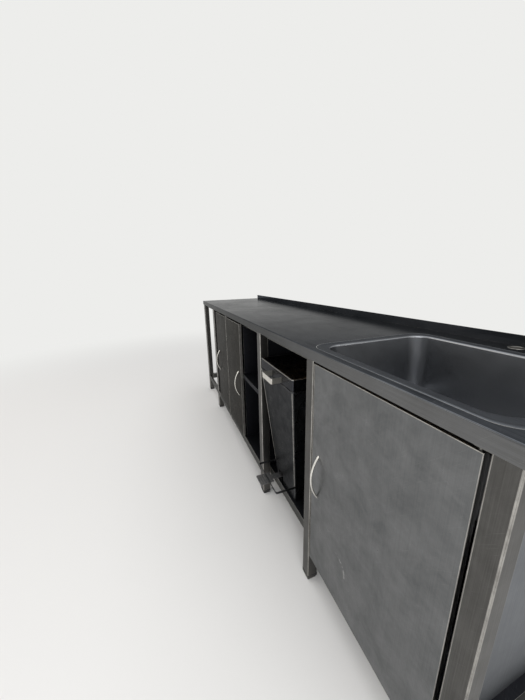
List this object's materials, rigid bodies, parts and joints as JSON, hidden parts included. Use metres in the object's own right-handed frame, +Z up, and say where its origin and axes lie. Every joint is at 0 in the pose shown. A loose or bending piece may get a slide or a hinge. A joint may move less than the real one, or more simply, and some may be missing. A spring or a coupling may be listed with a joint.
{
  "type": "food trailer kitchen counter",
  "caption": "Stainless steel kitchen counter run for a food trailer, with an inset sink, hinged cupboard doors, open shelves and a fitted pedal bin.",
  "frame": {"origin": "bottom centre of the bounding box, on the trailer floor", "axes": "+X along the counter from its far end to the sink, +Y from the aisle to the wall, +Z up"},
  "size_m": [2.58, 0.623, 0.932],
  "materials": {
    "worktop_steel": "satin stainless sheet, rubbed by use",
    "sink_steel": "satin pressed stainless bowl",
    "board": "raw moisture-resistant chipboard",
    "frame_steel": "satin stainless square tube",
    "foot_plastic": "black moulded plastic",
    "panel_steel": "dull stainless sheet",
    "door_steel": "linished stainless sheet with cloudy wipe marks",
    "handle_steel": "bright satin bar",
    "bracket_steel": "satin stainless",
    "bin_steel": "dark brushed stainless sheet"
  },
  "bodies": {
    "counter": {"worktop_skin": "worktop_steel", "worktop_board": "board", "sink_bowl": "sink_steel", "sink_waste": "sink_steel", "legs_front": "frame_steel", "legs_back": "frame_steel", "cross_rails": "frame_steel", "feet": "foot_plastic", "top_rails_front": "frame_steel", "low_rails_front": "frame_steel", "low_rails_set_back": "frame_steel", "top_rail_back": "frame_steel", "low_rail_back": "frame_steel", "floor_cupboards": "panel_steel", "floor_bin": "panel_steel", "floor_sink": "panel_steel", "cupboard_side_far": "panel_steel", "cupboard_side_near": "panel_steel", "shelf_side": "panel_steel", "cupboard_back": "panel_steel", "cupboard_post": "panel_steel", "cupboard_shelf": "panel_steel", "open_shelf": "panel_steel", "sink_liner": "panel_steel", "pivot_pair_low": "bracket_steel", "pivot_pair_top": "bracket_steel", "pivot_sink_low": "bracket_steel", "pivot_sink_top": "bracket_steel", "bin_base": "bin_steel", "bin_body": "bin_steel", "bin_hinge": "bracket_steel"},
    "sink_door": {"door_sink": "door_steel", "handle_sink": "handle_steel"},
    "near_door": {"door_pair_near": "door_steel", "handle_pair_near": "handle_steel"},
    "far_door": {"door_pair_far": "door_steel", "handle_pair_far": "handle_steel"},
    "lid": {"bin_lid": "bin_steel", "bin_lid_pull": "bin_steel"},
    "pedal": {"bin_pedal": "bin_steel"}
  },
  "joints": [
    {"name": "sink_door_hinge", "type": "hinge", "parent": "counter", "child": "sink_door", "pos_m": [1.223, -0.239, 0.49], "axis": [0, 0, 1], "range_deg": [0, 110]},
    {"name": "near_door_hinge", "type": "hinge", "parent": "counter", "child": "near_door", "pos_m": [-0.3295, -0.247, 0.51], "axis": [0, 0, -1], "range_deg": [0, 80]},
    {"name": "far_door_hinge", "type": "hinge", "parent": "counter", "child": "far_door", "pos_m": [-0.3575, -0.247, 0.51], "axis": [0, 0, 1], "range_deg": [0, 80]},
    {"name": "pedal_hinge", "type": "hinge", "parent": "counter", "child": "pedal", "pos_m": [0.415, -0.17, 0.198], "axis": [1, 0, 0], "range_deg": [0, 10]},
    {"name": "lid_hinge", "type": "hinge", "parent": "counter", "child": "lid", "pos_m": [0.461, 0.1415, 0.704], "axis": [-1, 0, 0], "range_deg": [0, 13]}
  ],
  "couplings": [
    {"joint": "lid_hinge", "follows": "pedal_hinge", "ratio": 1.3}
  ]
}
